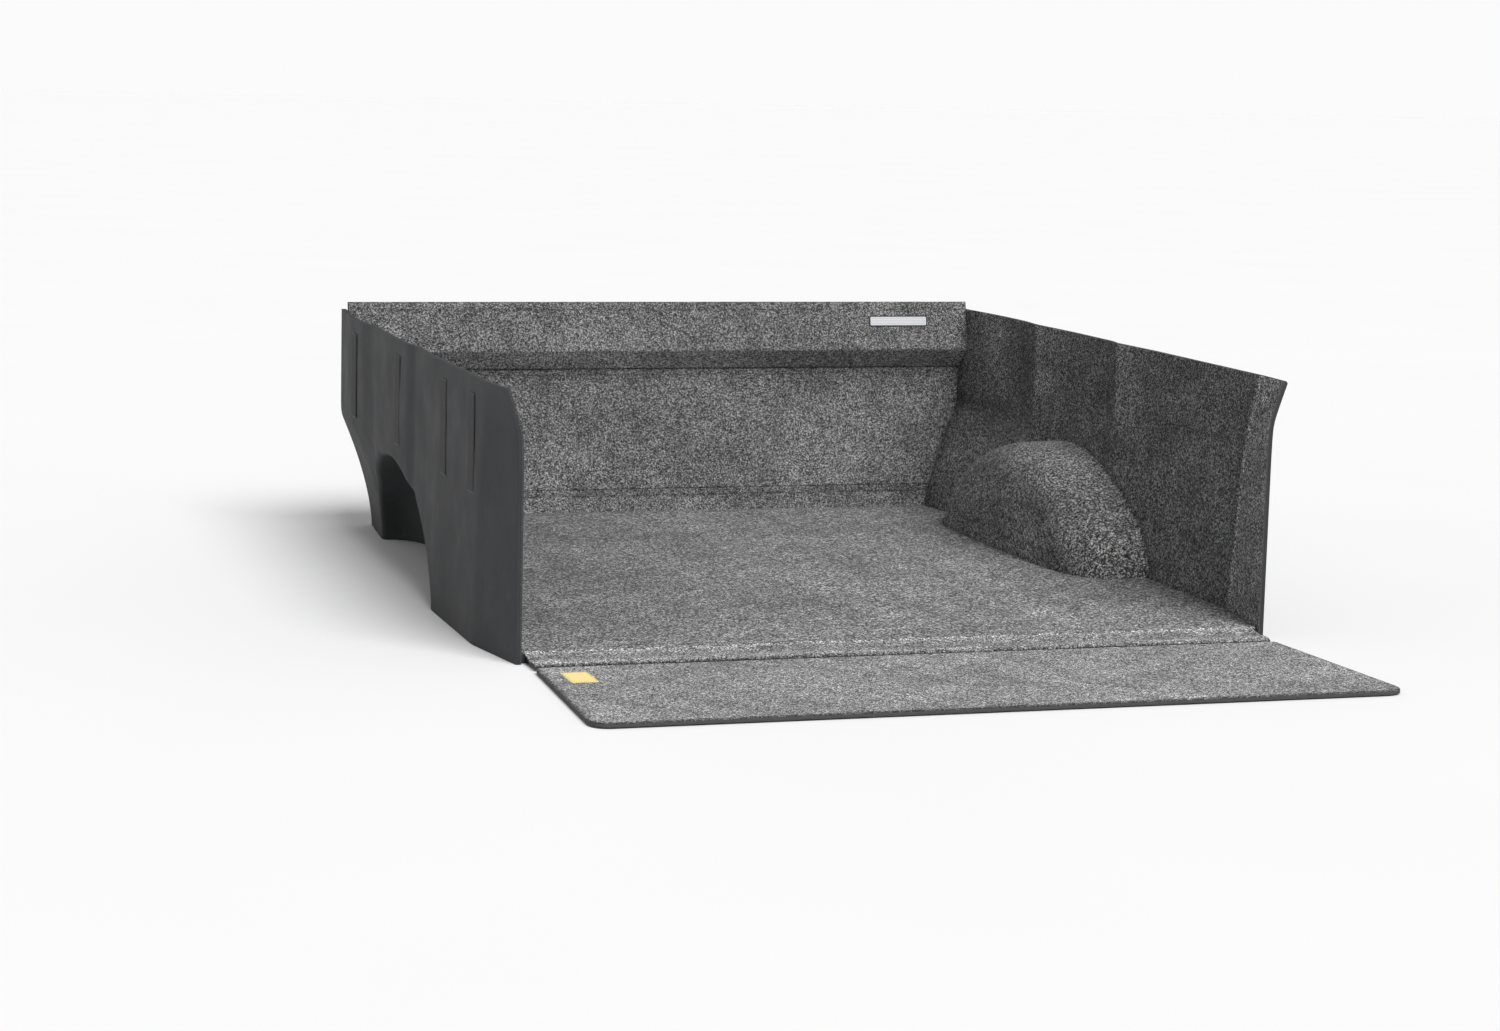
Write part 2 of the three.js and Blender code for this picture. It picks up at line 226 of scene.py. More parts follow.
def carpet_material(name, fineness, tuft_share, contrast=1.0):
    """Needle-punched pile: clumps of dark, mid and light grey fibre, felted and matt. tuft_share is the
    weight of the large tufts, and contrast spreads the shades about their middle."""
    material, tree, shader = node_tree(name)
    n = Nodes(tree)
    place = n.shifted(0.0025, 420)
    clumps = n.channel(n.cells(fineness, place).outputs["Color"])
    tufts = n.channel(n.cells(fineness * 0.42, place).outputs["Color"])
    strands = n.noise(fineness * 2.1, 3.0, 0.7, place).outputs["Fac"]
    clump_part = n.math("MULTIPLY", clumps, 0.60 - tuft_share)
    strand_part = n.math("MULTIPLY", strands, 0.40)
    tuft_part = n.math("MULTIPLY", tufts, tuft_share)
    blend = n.math("ADD", n.math("ADD", clump_part, strand_part), tuft_part)
    stops = [(0.22, 0.022), (0.41, 0.085), (0.56, 0.20), (0.76, 0.74)]
    middle = 0.15
    speckle = n.ramp(blend, [(at, middle * (shade / middle) ** contrast) for at, shade in stops])
    drift = n.ramp(n.noise(3.2, 3.0, 0.55).outputs["Fac"], [(0.3, 0.90), (0.7, 1.06)])
    patches = n.ramp(n.noise(42, 2.0, 0.6).outputs["Fac"], [(0.3, 0.90), (0.7, 1.08)])
    # The tone attribute carries each piece's painted light and shade, and some dust
    tone = tree.nodes.new("ShaderNodeAttribute")
    tone.attribute_name = "tone"
    colour = n.mix(1.0, speckle, drift, "MULTIPLY")
    colour = n.mix(1.0, colour, patches, "MULTIPLY")
    colour = n.mix(1.0, colour, tone.outputs["Fac"], "MULTIPLY")
    n.link(colour, shader.inputs["Base Color"])
    rough = n.ramp(n.noise(150, 2.0).outputs["Fac"], [(0.3, 0.92), (0.7, 1.0)])
    n.link(rough, shader.inputs["Roughness"])
    shader.inputs["Specular IOR Level"].default_value = 0.10
    shader.inputs["Sheen Weight"].default_value = 0.12
    shader.inputs["Sheen Roughness"].default_value = 0.5
    lumps = n.noise(75, 3.0, 0.6).outputs["Fac"]
    coarse = n.bump(shader, lumps, 0.4, 0.004)
    pile = n.math("ADD", n.cells(fineness, place).outputs["Distance"], strands)
    n.bump(shader, pile, 1.0, 0.0026, coarse)
    return material


def sealed_edge_material(name):
    """Cut edge of the carpet, pressed and darkened where it was trimmed."""
    material, tree, shader = node_tree(name)
    n = Nodes(tree)
    fibres = n.noise(520, 4.0, 0.7).outputs["Fac"]
    n.link(n.ramp(fibres, [(0.25, 0.028), (0.55, 0.060), (0.8, 0.13)]), shader.inputs["Base Color"])
    shader.inputs["Specular IOR Level"].default_value = 0.25
    n.link(n.ramp(fibres, [(0.2, 0.7), (0.8, 0.95)]), shader.inputs["Roughness"])
    n.bump(shader, fibres, 0.6, 0.001)
    return material


def foam_material(name):
    """Closed-cell foam: near-black skin with fine cells and paler scuffs."""
    material, tree, shader = node_tree(name)
    n = Nodes(tree)
    cells = n.cells(760).outputs["Distance"]
    cloud = n.noise(9, 4.0, 0.6).outputs["Fac"]
    base = n.ramp(cloud, [(0.3, (0.020, 0.021, 0.023)), (0.7, (0.036, 0.037, 0.040))])
    scuff = n.ramp(n.noise(26, 5.0, 0.75, distortion=0.6).outputs["Fac"], [(0.60, 0.0), (0.78, 0.5)])
    colour = n.mix(scuff, base, (0.075, 0.076, 0.080))
    n.link(colour, shader.inputs["Base Color"])
    n.link(n.ramp(cloud, [(0.3, 0.62), (0.7, 0.84)]), shader.inputs["Roughness"])
    shader.inputs["Specular IOR Level"].default_value = 0.35
    soft = n.bump(shader, n.noise(34, 3.0, 0.6).outputs["Fac"], 0.25, 0.003)
    n.bump(shader, cells, 0.5, 0.0006, soft)
    return material


def hook_material(name):
    """Hook tape: close rows of short stiff hooks on a woven black ground."""
    material, tree, shader = node_tree(name)
    n = Nodes(tree)
    hooks = n.cells(620)
    hooks.inputs["Randomness"].default_value = 0.25
    field = hooks.outputs["Distance"]
    n.link(n.ramp(field, [(0.2, 0.075), (0.6, 0.012)]), shader.inputs["Base Color"])
    n.link(n.ramp(field, [(0.2, 0.45), (0.6, 0.8)]), shader.inputs["Roughness"])
    n.bump(shader, n.math("MULTIPLY", field, -1.0), 1.0, 0.0012)
    return material


def woven_material(name, light, dark, scale=900, rough=0.8):
    """Plain weave in two shades, for tapes, labels and thread."""
    material, tree, shader = node_tree(name)
    n = Nodes(tree)
    warp, weft, across = (n.waves(scale / 6.0, axis).outputs["Fac"] for axis in "XZY")
    weave = n.math("MULTIPLY", n.math("MAXIMUM", warp, 0.25), n.math("MAXIMUM", weft, across))
    fleck = n.noise(420, 3.0, 0.6).outputs["Fac"]
    height = n.math("ADD", n.math("MULTIPLY", weave, 0.7), n.math("MULTIPLY", fleck, 0.3))
    n.link(n.ramp(height, [(0.15, dark), (0.7, light)]), shader.inputs["Base Color"])
    n.link(n.ramp(fleck, [(0.3, rough - 0.08), (0.7, rough + 0.08)]), shader.inputs["Roughness"])
    shader.inputs["Sheen Weight"].default_value = 0.15
    n.bump(shader, height, 0.5, 0.0005)
    return material


def moulded_material(name, low, high, rough, metal=0.0):
    """Moulded plastic or plated metal with fine grain, worn smoother in places."""
    material, tree, shader = node_tree(name)
    n = Nodes(tree)
    grain = n.noise(1400, 4.0, 0.6).outputs["Fac"]
    worn = n.noise(160, 3.0, 0.6).outputs["Fac"]
    n.link(n.ramp(worn, [(0.35, low), (0.7, high)]), shader.inputs["Base Color"])
    n.link(n.ramp(worn, [(0.3, rough), (0.75, rough + 0.22)]), shader.inputs["Roughness"])
    shader.inputs["Metallic"].default_value = metal
    n.bump(shader, grain, 0.25, 0.0002)
    return material


CARPET = carpet_material("carpet_pile", 520, 0.06)
SIDE_CARPET = carpet_material("side_carpet_pile", 440, 0.08, 1.32)
FLOOR_CARPET = carpet_material("floor_carpet_pile", 400, 0.14, 1.30)
MAT_CARPET = carpet_material("tailgate_carpet_pile", 480, 0.10, 1.08)
CARPET_EDGE = sealed_edge_material("carpet_cut_edge")
FOAM = foam_material("closed_cell_foam")
HOOK = hook_material("hook_tape")
TAPE = woven_material("zip_tape_weave", 0.035, 0.012)
LABEL = woven_material("badge_weave", (0.72, 0.73, 0.75), (0.50, 0.51, 0.53), 1500)
TAG = woven_material("tag_cloth", (1.0, 0.86, 0.38), (0.90, 0.70, 0.24), 1800, 0.6)
BADGE_EDGE = woven_material("badge_border", 0.035, 0.015, 1500)
TAG_THREAD = woven_material("tag_thread", (0.42, 0.30, 0.10), (0.30, 0.20, 0.06), 3000)
BADGE_THREAD = woven_material("badge_thread", 0.06, 0.03, 3000)
TEETH = moulded_material("zip_teeth_plastic", 0.012, 0.03, 0.34)
ZIP_METAL = moulded_material("zip_black_nickel", 0.05, 0.14, 0.22, 0.9)


# ---------------------------------------------------------------- mesh tools

EDGE_STEPS = np.array([0.0, 0.0006, 0.0014, 0.0026, 0.0042, 0.0065, 0.0100])
FACE_GAP = 0.0001


def piece(name, points, faces, materials, smooth=True, indices=None):
    """A mesh object from points in the bed's datum."""
    mesh = bpy.data.meshes.new(name)
    points = np.asarray(points, float).reshape(-1, 3) + (0, DATUM, 0)
    mesh.from_pydata(points.tolist(), [], [list(map(int, f)) for f in faces])
    for material in materials:
        mesh.materials.append(material)
    if indices is not None:
        mesh.polygons.foreach_set("material_index", np.asarray(indices, np.int32))
    mesh.polygons.foreach_set("use_smooth", [smooth] * len(mesh.polygons))
    mesh.update()
    made = bpy.data.objects.new(name, mesh)
    bpy.context.scene.collection.objects.link(made)
    return made


def close_up(made, weld=None):
    """Welds points that meet, when a distance is given, and turns every face outward."""
    mesh = bmesh.new()
    mesh.from_mesh(made.data)
    if weld is not None:
        bmesh.ops.remove_doubles(mesh, verts=mesh.verts, dist=weld)
    bmesh.ops.recalc_face_normals(mesh, faces=mesh.faces)
    mesh.to_mesh(made.data)
    mesh.free()


def round_edges(made, width, segments, angle):
    """Bevels the edges sharper than an angle in degrees."""
    edge = made.modifiers.new("edge", "BEVEL")
    edge.width = width
    edge.segments = segments
    edge.limit_method = "ANGLE"
    edge.angle_limit = math.radians(angle)


def shell(name, front, back, materials, bevel, segments=2, tone=None):
    """The closed solid between two grids of the same shape. Rim faces take the second material.
    tone lightens or darkens the carpet, point by point of the front grid, with painted light and shade and
    some dust."""
    rows, columns = front.shape[:2]
    at = np.arange(rows * columns).reshape(rows, columns)
    under = at + rows * columns
    quads = [
        np.stack([at[:-1, :-1], at[1:, :-1], at[1:, 1:], at[:-1, 1:]], -1).reshape(-1, 4),
        np.stack([under[:-1, :-1], under[:-1, 1:], under[1:, 1:], under[1:, :-1]], -1).reshape(-1, 4),
    ]
    loop = np.concatenate([at[0, :-1], at[:-1, -1], at[-1, :0:-1], at[:0:-1, 0]])
    following = np.roll(loop, -1)
    rim = np.stack([loop, following, following + rows * columns, loop + rows * columns], -1)
    faces = np.concatenate([*quads, rim])
    indices = np.zeros(len(faces), int)
    if len(materials) > 1:
        indices[-len(rim) :] = 1
    points = np.concatenate([front.reshape(-1, 3), back.reshape(-1, 3)])
    made = piece(name, points, faces, materials, indices=indices)
    shade = np.ones(front.shape[:2]) if tone is None else tone
    attribute = made.data.attributes.new("tone", "FLOAT", "POINT")
    attribute.data.foreach_set("value", np.tile(shade.ravel(), 2).astype(np.float32))
    close_up(made, weld=2e-5)
    round_edges(made, bevel, segments, 50)
    return made


def grid_normals(points):
    """Unit normals at a grid's points."""
    along_rows = np.gradient(points, axis=0)
    along_columns = np.gradient(points, axis=1)
    normals = np.cross(along_rows, along_columns)
    return normals / np.maximum(np.linalg.norm(normals, axis=2, keepdims=True), 1e-12)


def relax(points, times):
    """Rounds a grid's creases, with its outline held."""
    for _ in range(times):
        inner = points[:-2, 1:-1] + points[2:, 1:-1] + points[1:-1, :-2] + points[1:-1, 2:]
        points[1:-1, 1:-1] = inner / 4
    return points


def ripple(a, b, size, height, seed):
    """Low waves over the plane of a and b, as a sum of a few plane waves."""
    random = np.random.RandomState(seed)
    total = np.zeros(np.broadcast(a, b).shape)
    for _ in range(7):
        angle = random.uniform(0, math.pi)
        length = size * random.uniform(0.7, 1.8)
        phase = random.uniform(0, 2 * math.pi)
        total = total + np.sin((a * math.cos(angle) + b * math.sin(angle)) * 2 * math.pi / length + phase)
    return total * height / 7


def ripples(a, b, *waves):
    """Sum of ripple() for each (size, height, seed) in waves."""
    return sum(ripple(a, b, *wave) for wave in waves)


def ease(t):
    """0 below 0, 1 above 1 and smooth between."""
    t = np.clip(t, 0, 1)
    return t * t * (3 - 2 * t)


def bell(distance, width):
    """1 at no distance, fading to 0 over about two widths."""
    return np.exp(-((distance / width) ** 2))


def above_zero(value, radius):
    """max(value, 0) with its corner rounded."""
    return (value + np.sqrt(value * value + radius * radius)) / 2


def smoothed(values, width):
    """A row of values averaged over an odd number of neighbours, with its ends held."""
    kernel = np.hanning(width)
    return np.convolve(np.pad(values, width // 2, mode="edge"), kernel / kernel.sum(), "valid")


def dress(made, body, replaced=()):
    """Ties a piece to its body and the CAD nodes that it stands for."""
    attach(made, body)
    if replaced:
        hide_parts(*replaced)
    return made


def edged(start, end, count):
    """Places from start to end, evenly spaced but for close steps at both ends."""
    inner = np.linspace(start + EDGE_STEPS[-1], end - EDGE_STEPS[-1], count)
    return np.concatenate([start + EDGE_STEPS[:-1], inner, (end - EDGE_STEPS[:-1])[::-1]])


def columns(half, count):
    """A row of places from -half to half for each row, with close steps at both edges."""
    return np.array([edged(-h, h, count) for h in half])


def per_column(values, grid):
    """A value for each row of a grid, repeated across its columns."""
    return np.repeat(values[:, None], grid.shape[1], 1)


def rolled(rim, reach, drop):
    """How far a carpet's surface rolls down within reach of its edge."""
    return drop * (1 - np.sqrt(1 - np.clip(1 - rim / reach, 0, 1) ** 2))


# ---------------------------------------------------------------- side panels


def return_crease(z):
    """Where along the bed the wall bends into its angled return, at height z."""
    return RETURN_Y - RETURN_LEAN * z - RETURN_SPLAY * above_zero(z - RETURN_SPLAY_Z, 0.03)


def wall_face(y, z):
    """Distance of the side wall's carpet from the centre line, without the hump."""
    crease = return_crease(z)
    edge = RETURN_EDGE_X + RETURN_FLARE * above_zero(z - RETURN_FLARE_Z, 0.02)
    slope = (WALL_X - edge) / (crease - SIDE_REAR)
    x = WALL_X - slope * above_zero(crease - y, 0.010)
    for rear, crest, front in RIDGES_Y:
        rise = np.clip((y - rear) / (crest - rear), 0, 1)
        fall = np.clip((front - y) / (front - crest), 0, 1)
        x = x - (WALL_X - RIDGE_X) * rise**1.3 * ease(fall)
    x = x - (WALL_X - FRONT_X) * above_zero((y - CORNER_Y) / (CAVITY_FRONT_Y - CORNER_Y), 0.2)
    height = np.maximum(z, 0) / SHELF_Z
    fade = ease((y - SHELF_FADE_Y[0]) / (SHELF_FADE_Y[1] - SHELF_FADE_Y[0]))
    return x - SHELF_DEPTH * above_zero(1 - height**1.6, 0.05) * fade


def hump_radius(y, z):
    """0 at the middle of the hump's foot and 1 on its arch."""
    t = np.abs(y - HUMP_Y) / HUMP_HALF_LENGTH
    h = np.maximum(z, 0) / HUMP_HEIGHT
    return (t**ARCH_POWER + h**ARCH_POWER) ** (1 / ARCH_POWER)


def inner_face(y, z):
    """Distance of the cargo-side carpet from the centre line: the wall, or the hump in front of it."""
    wall = wall_face(y, z)
    radius = hump_radius(y, z)
    root = np.maximum(wall, HUMP_ROOT_X)
    shoulder = np.clip(1 - np.minimum(radius, 1) ** SHOULDER_POWER, 0, 1) ** (1 / SHOULDER_POWER)
    hump = root - (root - HUMP_FACE_X) * shoulder + np.maximum(radius - 1, 0)
    fillet = 0.007
    return (hump + wall - np.sqrt((hump - wall) ** 2 + fillet**2)) / 2


def side_face():
    """Grid of rays from the middle of the hump's foot, over the hump and out to the panel's edges."""
    front_corner = math.atan2(SIDE_TOP, SIDE_FRONT - HUMP_Y)
    rear_corner = math.pi - math.atan2(SIDE_TOP, HUMP_Y - SIDE_REAR)
    front = np.arctan2(np.linspace(0, SIDE_TOP, END_RAYS), SIDE_FRONT - HUMP_Y)
    top = np.arctan2(SIDE_TOP, np.linspace(SIDE_FRONT - HUMP_Y, SIDE_REAR - HUMP_Y, TOP_RAYS))
    rear = np.arctan2(np.linspace(SIDE_TOP, 0, END_RAYS), SIDE_REAR - HUMP_Y)
    turns = np.concatenate([front[:-1], top, rear[1:]])
    cosine, sine = np.cos(turns), np.sin(turns)
    sine[0] = sine[-1] = 0.0
    arch = np.abs(cosine / HUMP_HALF_LENGTH) ** ARCH_POWER + np.abs(sine / HUMP_HEIGHT) ** ARCH_POWER
    arch = arch ** (-1 / ARCH_POWER)
    along_bed = np.maximum(np.abs(cosine), 1e-9)
    to_rear_or_top = np.where(
        turns > rear_corner, (HUMP_Y - SIDE_REAR) / along_bed, SIDE_TOP / np.maximum(sine, 1e-9)
    )
    reach = np.where(turns < front_corner, (SIDE_FRONT - HUMP_Y) / along_bed, to_rear_or_top)
    angle = np.linspace(0, math.pi / 2, 400)
    section_radius = np.sin(angle) ** (2 / SHOULDER_POWER)
    section_depth = np.cos(angle) ** (2 / SHOULDER_POWER)
    depth = HUMP_ROOT_X - HUMP_FACE_X
    rays = []
    for k in range(len(turns)):
        length = np.hypot(np.diff(section_radius * arch[k]), np.diff(section_depth * depth))
        along = np.concatenate([[0], np.cumsum(length)])
        inner = np.interp(np.linspace(0, along[-1], HUMP_STEPS), along, section_radius) * arch[k]
        steps = np.interp(np.linspace(0, 1, WALL_STEPS + 1)[1:], [0, 0.12, 0.5, 1], [0, 0.06, 0.62, 1])
        outer = arch[k] + (reach[k] - arch[k]) * steps
        rays.append(np.concatenate([inner, outer]))
    radius = np.array(rays)
    y = HUMP_Y + radius * cosine[:, None]
    z = radius * sine[:, None]
    x = inner_face(y, z)
    points = relax(np.stack([x, y, z], -1), 2)
    calm = ease(np.minimum.reduce([SIDE_FRONT - y, y - SIDE_REAR, SIDE_TOP - z, z]) / 0.08)
    points[..., 0] += ripples(y, z, (0.26, 0.0022, 5), (0.09, 0.0007, 6)) * calm
    return points


def set_back(face, normals, distance):
    """The face moved into the wall, kept off the ground and inside the panel's outline."""
    moved = face + normals * distance
    moved[..., 2] = np.maximum(moved[..., 2], 0.0)
    return moved


def side_tone(face):
    """Painted light and shade on the return, the ridges, the shelf and the hump, and darker in corners,
    with dust and painted shade.
    """
    y, z = face[..., 1], face[..., 2]
    # The return: a painted highlight along its crease and painted light on the cloth behind it, which
    # faces the light, then painted shade just ahead of the crease and on the wall ahead of it, most on the
    # upper wall
    ahead_of_crease = y - return_crease(z)
    tone = 0.66 + 0.55 * bell(ahead_of_crease, 0.007) + 0.22 * ease(-ahead_of_crease / 0.01)
    tone = tone - 0.12 * bell(ahead_of_crease - 0.022, 0.012)
    upper = ease((z - 0.25) / 0.14)
    tone = tone - (0.05 + 0.12 * upper) * ease(ahead_of_crease / 0.02)
    # The ridges: painted light up to each crest and painted shade down its front, on the upper wall, with
    # a little more painted shade and light further forward
    for rear, crest, front in RIDGES_Y:
        lit_rise = np.clip((y - rear) / (crest - rear), 0, 1) ** 0.8 * ease((crest - 0.004 - y) / 0.012)
        shaded = np.clip((front - y) / (front - crest), 0, 1) ** 0.5 * ease((y - crest + 0.008) / 0.012)
        tone = tone + upper * (0.34 * lit_rise - 0.12 * shaded)
    tone = tone - 0.04 * upper * bell(y - 1.31, 0.05)
    tone = tone + 0.20 * upper * bell(y - 1.49, 0.08)
    # Painted shade in the fold where the wall meets the shelf
    over_shelf = ease((y - 1.38) / 0.12)
    tone = tone - 0.26 * over_shelf * bell(z - SHELF_Z - 0.02, 0.035)
    # The hump: painted light over it, painted shade in the joint round it and on its shoulder, and a
    # painted highlight on its rim, with painted shade on the arch's edge elsewhere
    radius = hump_radius(y, z)
    on_hump = ease((1.02 - radius) / 0.04)
    front_half = ease((y - HUMP_Y + 0.15) / 0.3)
    tone = tone + 0.22 * on_hump
    tone = tone - 0.16 * bell(radius - 1.035, 0.025)
    shoulder = np.maximum(1 - front_half, ease((z - 0.12) / 0.08))
    tone = tone - 0.28 * shoulder * ease((radius - 0.48) / 0.26) * ease((0.97 - radius) / 0.06)
    rim = ease((np.abs(face[..., 0]) - HUMP_FACE_X - 0.075) / 0.06)
    tone = tone + ((0.44 + 0.22 * front_half) * rim - 0.19) * ease((radius - 0.91) / 0.04) * on_hump
    # Dust and painted shade along the front edge and the foot, but not under the hump's rear
    foot = 0.6 - 0.6 * (1 - front_half) * on_hump
    corner = bell(SIDE_FRONT - y, 0.05) + foot * bell(z, 0.03)
    return (tone - 0.20 * corner) * (1 + ripples(y, z, (0.05, 0.25, 7), (0.12, 0.25, 8)))


def side_panels():
    """Both side panels: a moulded carpet face on a foam core, the left one a mirror of the right."""
    face = side_face()
    normals = grid_normals(face)
    # Away from the cargo, judged at a point of the plain wall
    normals *= np.sign(normals[40, 100, 0])
    # The panel's edges stay square: a normal there keeps within the edge's own plane
    normals[(0, -1), :, 2] = 0
    normals[END_RAYS - 1 : END_RAYS + TOP_RAYS - 2, -1, 2] = 0
    normals[:END_RAYS, -1, 1] = 0
    normals[-END_RAYS:, -1, 1] = 0
    normals /= np.maximum(np.linalg.norm(normals, axis=2, keepdims=True), 1e-12)
    tone = side_tone(face)
    carpet_back = set_back(face, normals, CARPET_THICK)
    foam_front = set_back(face, normals, CARPET_THICK + FACE_GAP)
    foam_back = set_back(face, normals, WALL_THICK)
    raised = face.copy()
    raised[..., 2] = np.maximum(raised[..., 2], 0.0005)
    for side, sign in (("right", 1), ("left", -1)):
        flip = np.array([sign, 1, 1])
        coats = [SIDE_CARPET, CARPET_EDGE]
        carpet = shell(f"{side}_side_face", raised * flip, carpet_back * flip, coats, 0.001, tone=tone)
        dress(carpet, "liner", [f"{side}_side_carpet"])
        foam = shell(f"{side}_side_core", foam_front * flip, foam_back * flip, [FOAM], 0.0012)
        dress(foam, "liner", [f"{side}_side_foam"])


# ---------------------------------------------------------------- floor and headboard


def floor_mat():
    """The floor's carpet and foam, as wide at each place as the side panels leave room for."""
    hump_ends = 1 - 0.22 * np.linspace(0, 1, 18) ** 2
    near_humps = [HUMP_Y + sign * HUMP_HALF_LENGTH * t for sign in (-1, 1) for t in hump_ends]
    rows, across = FLOOR_GRID
    front_gap, side_gap, widest_z = 0.0003, 0.0014, 0.012
    y = np.concatenate([edged(0, FLOOR_LENGTH - front_gap, rows), near_humps])
    y = np.unique(np.round(y, 5))
    half = inner_face(y, np.full(y.shape, widest_z)) - side_gap
    x = columns(half, across)
    yy = per_column(y, x)
    beside = half[:, None] - np.abs(x)
    # Waves die out towards the edges, which are trimmed straight and rolled down
    calm = ease(np.minimum.reduce([yy, FLOOR_LENGTH - yy, beside]) / 0.10)
    lift = ripples(x, yy, (0.42, 0.0016, 11), (0.13, 0.0006, 12)) * calm
    lift = lift - rolled(yy, 0.0075, 0.0030) - rolled(np.minimum(beside, FLOOR_LENGTH - yy), 0.004, 0.0015)
    top = np.stack([x, yy, FLOOR_TOP - 0.0006 + lift], -1)
    middle = np.stack([x, yy, np.full(x.shape, FLOOR_TOP - FLOOR_CARPET_THICK)], -1)
    bottom = np.stack([x, yy, np.zeros(x.shape)], -1)
    # A painted highlight on the rear edge, and painted shade forward, to the left, at the headboard and
    # beside the walls and humps, with some dust beside the walls
    tone = 0.95 + 0.52 * bell(yy - 0.001, 0.006) - 0.18 * bell(beside, 0.02)
    tone = tone - 0.14 * bell(FLOOR_LENGTH - yy, 0.03) - 0.20 * ease(yy / FLOOR_LENGTH)
    tone = tone - 0.20 * ease((-x + 0.1) / 0.6) * ease(yy / 0.3)
    tone = tone - 0.08 * ease((-x - 0.45) / 0.2) - 0.12 * bell(beside, 0.10) * ease(yy / 0.5)
    tone = tone * (1 + ripples(x, yy, (0.09, 0.25, 13), (0.3, 0.2, 14)))
    carpet = shell("floor_face", top, middle, [FLOOR_CARPET], 0.0005, tone=tone)
    dress(carpet, "liner", ["floor_carpet"])
    foam = shell("floor_core", middle - (0, 0, FACE_GAP), bottom, [FOAM], 0.0012)
    dress(foam, "liner", ["floor_foam"])


# The headboard's flat field, the foot of its lip and the lip's top edge, and its creases and stitch line
HEAD_FIELD_Y = FLOOR_LENGTH - 0.0057
HEAD_LIP_Y = 1.640
BEVEL_Z = 0.416
HEAD_LIP_TOP_Y = 1.662
CREASES = (0.058, 0.075, 0.353, 0.368)
CREASE_DEPTHS = (0.25, 0.8, 0.5, 1.0)
STITCH_Z = 0.513


def pressed(z, width):
    """How hard the creases across the headboard are pressed at height z, from 0 to 1."""
    return sum(depth * bell(z - at, width) for at, depth in zip(CREASES, CREASE_DEPTHS))


def head_profile(z):
    """Distance forward of the headboard's face at height z, with rounded corners and pressed creases."""
    corners_z = [-0.05, 0.056, 0.074, 0.356, 0.368, BEVEL_Z, HEAD_TOP + 0.05]
    lean = (HEAD_LIP_TOP_Y - HEAD_LIP_Y) / (HEAD_TOP - BEVEL_Z)
    corners_y = [
        FLOOR_LENGTH,
        FLOOR_LENGTH,
        HEAD_FIELD_Y,
        HEAD_FIELD_Y,
        HEAD_FIELD_Y - 0.003,
        HEAD_LIP_Y,
        HEAD_LIP_TOP_Y + 0.05 * lean,
    ]
    fine = np.linspace(-0.04, HEAD_TOP + 0.04, 2400)
    y = smoothed(np.interp(fine, corners_z, corners_y), 25)
    return np.interp(z, fine, y + 0.0020 * pressed(fine, 0.0014))


def headboard():
    """The headboard's carpet and foam, with its lip, bevel, creases and stitch line."""
    rows, across = HEAD_GRID
    side_gap = 0.0016
    even = np.linspace(0, HEAD_TOP, rows)
    close = [at + np.linspace(-0.005, 0.005, 15) for at in (*CREASES, STITCH_Z)]
    z = np.unique(np.round(np.concatenate([even, *close]), 4))
    z = z[np.concatenate([[True], np.diff(z) > 0.0005])]
    y = head_profile(z)
    half = wall_face(y, z) - side_gap
    x = columns(half, across)
    yy = per_column(y, x)
    zz = per_column(z, x)
    beside = half[:, None] - np.abs(x)
    calm = ease(np.minimum.reduce([zz - 0.02, HEAD_TOP - zz, beside]) / 0.06)
    waves = ripples(x, zz, (0.34, 0.0022, 21), (0.11, 0.0007, 22)) * calm
    face = np.stack([x, yy + waves + rolled(beside, 0.004, 0.002), zz], -1)
    # Painted shade in the creases, unevenly pressed and faintest to the left, at the foot and beside the
    # walls; then painted light on the bevel, which faces down, painted shade on the lip, the stitch line
    # and paler bands between the creases
    patchy = np.clip(0.85 + ripple(x, zz, 0.25, 1.0, 23), 0.3, 1.1)
    leftward = ease((0.5 - x) / 0.7)
    third_crease = 0.45 * (1 - leftward) * bell(zz - CREASES[2], 0.003)
    tone = 1 - (0.75 - third_crease) * np.clip(pressed(zz, 0.0019) * patchy, 0, 1)
    tone = tone - 0.25 * bell(zz, 0.006) - 0.30 * bell(beside, 0.008)
    bevel = ease((zz - CREASES[-1]) / 0.006) * ease((BEVEL_Z - zz) / 0.008)
    tone = tone + (0.34 + 0.55 * leftward) * bevel - 0.14 * ease((zz - BEVEL_Z) / 0.01)
    tone = tone - 0.30 * bell(zz - STITCH_Z, 0.0022) * (0.8 + ripple(x, zz, 0.1, 1.2, 26))
    tone = tone + 0.05 * ease((x - 0.1) / 0.3) * ease((0.6 - x) / 0.1) * (zz < CREASES[2])
    for low, high in (CREASES[:2], CREASES[2:]):
        tone = tone + 0.16 * ease((zz - low) / 0.004) * ease((high - 0.002 - zz) / 0.004)
    tone = tone * (1 + ripples(x, zz, (0.08, 0.25, 24), (0.25, 0.2, 25)))
    slope = np.gradient(y, z)
    normal = np.stack([np.zeros_like(slope), np.ones_like(slope), -slope], -1)
    normal /= np.linalg.norm(normal, axis=1, keepdims=True)
    normal[0] = normal[-1] = (0, 1, 0)
    normal = normal[:, None, :]

    def back(distance):
        moved = face + normal * distance
        moved[..., 2] = np.clip(moved[..., 2], 0, HEAD_TOP)
        return moved

    carpet = shell("headboard_face", face, back(CARPET_THICK), [CARPET, CARPET_EDGE], 0.0008, tone=tone)
    dress(carpet, "liner", ["headboard_carpet"])
    foam = shell("headboard_core", back(CARPET_THICK + FACE_GAP), back(WALL_THICK), [FOAM], 0.0012)
    dress(foam, "liner", ["headboard_foam"])


# ---------------------------------------------------------------- gap guard and tailgate mat

GUARD_HALF = guard_high.x
GUARD_REAR = guard_low.y - DATUM
GUARD_FRONT = guard_high.y - DATUM
MAT_FRONT = mat_high.y - DATUM
MAT_REAR = mat_low.y - DATUM
MAT_HALF_REAR = mat_high.x
MAT_HALF_FRONT = 0.745
MAT_CORNER = 0.044
MAT_SHOULDER = 0.014


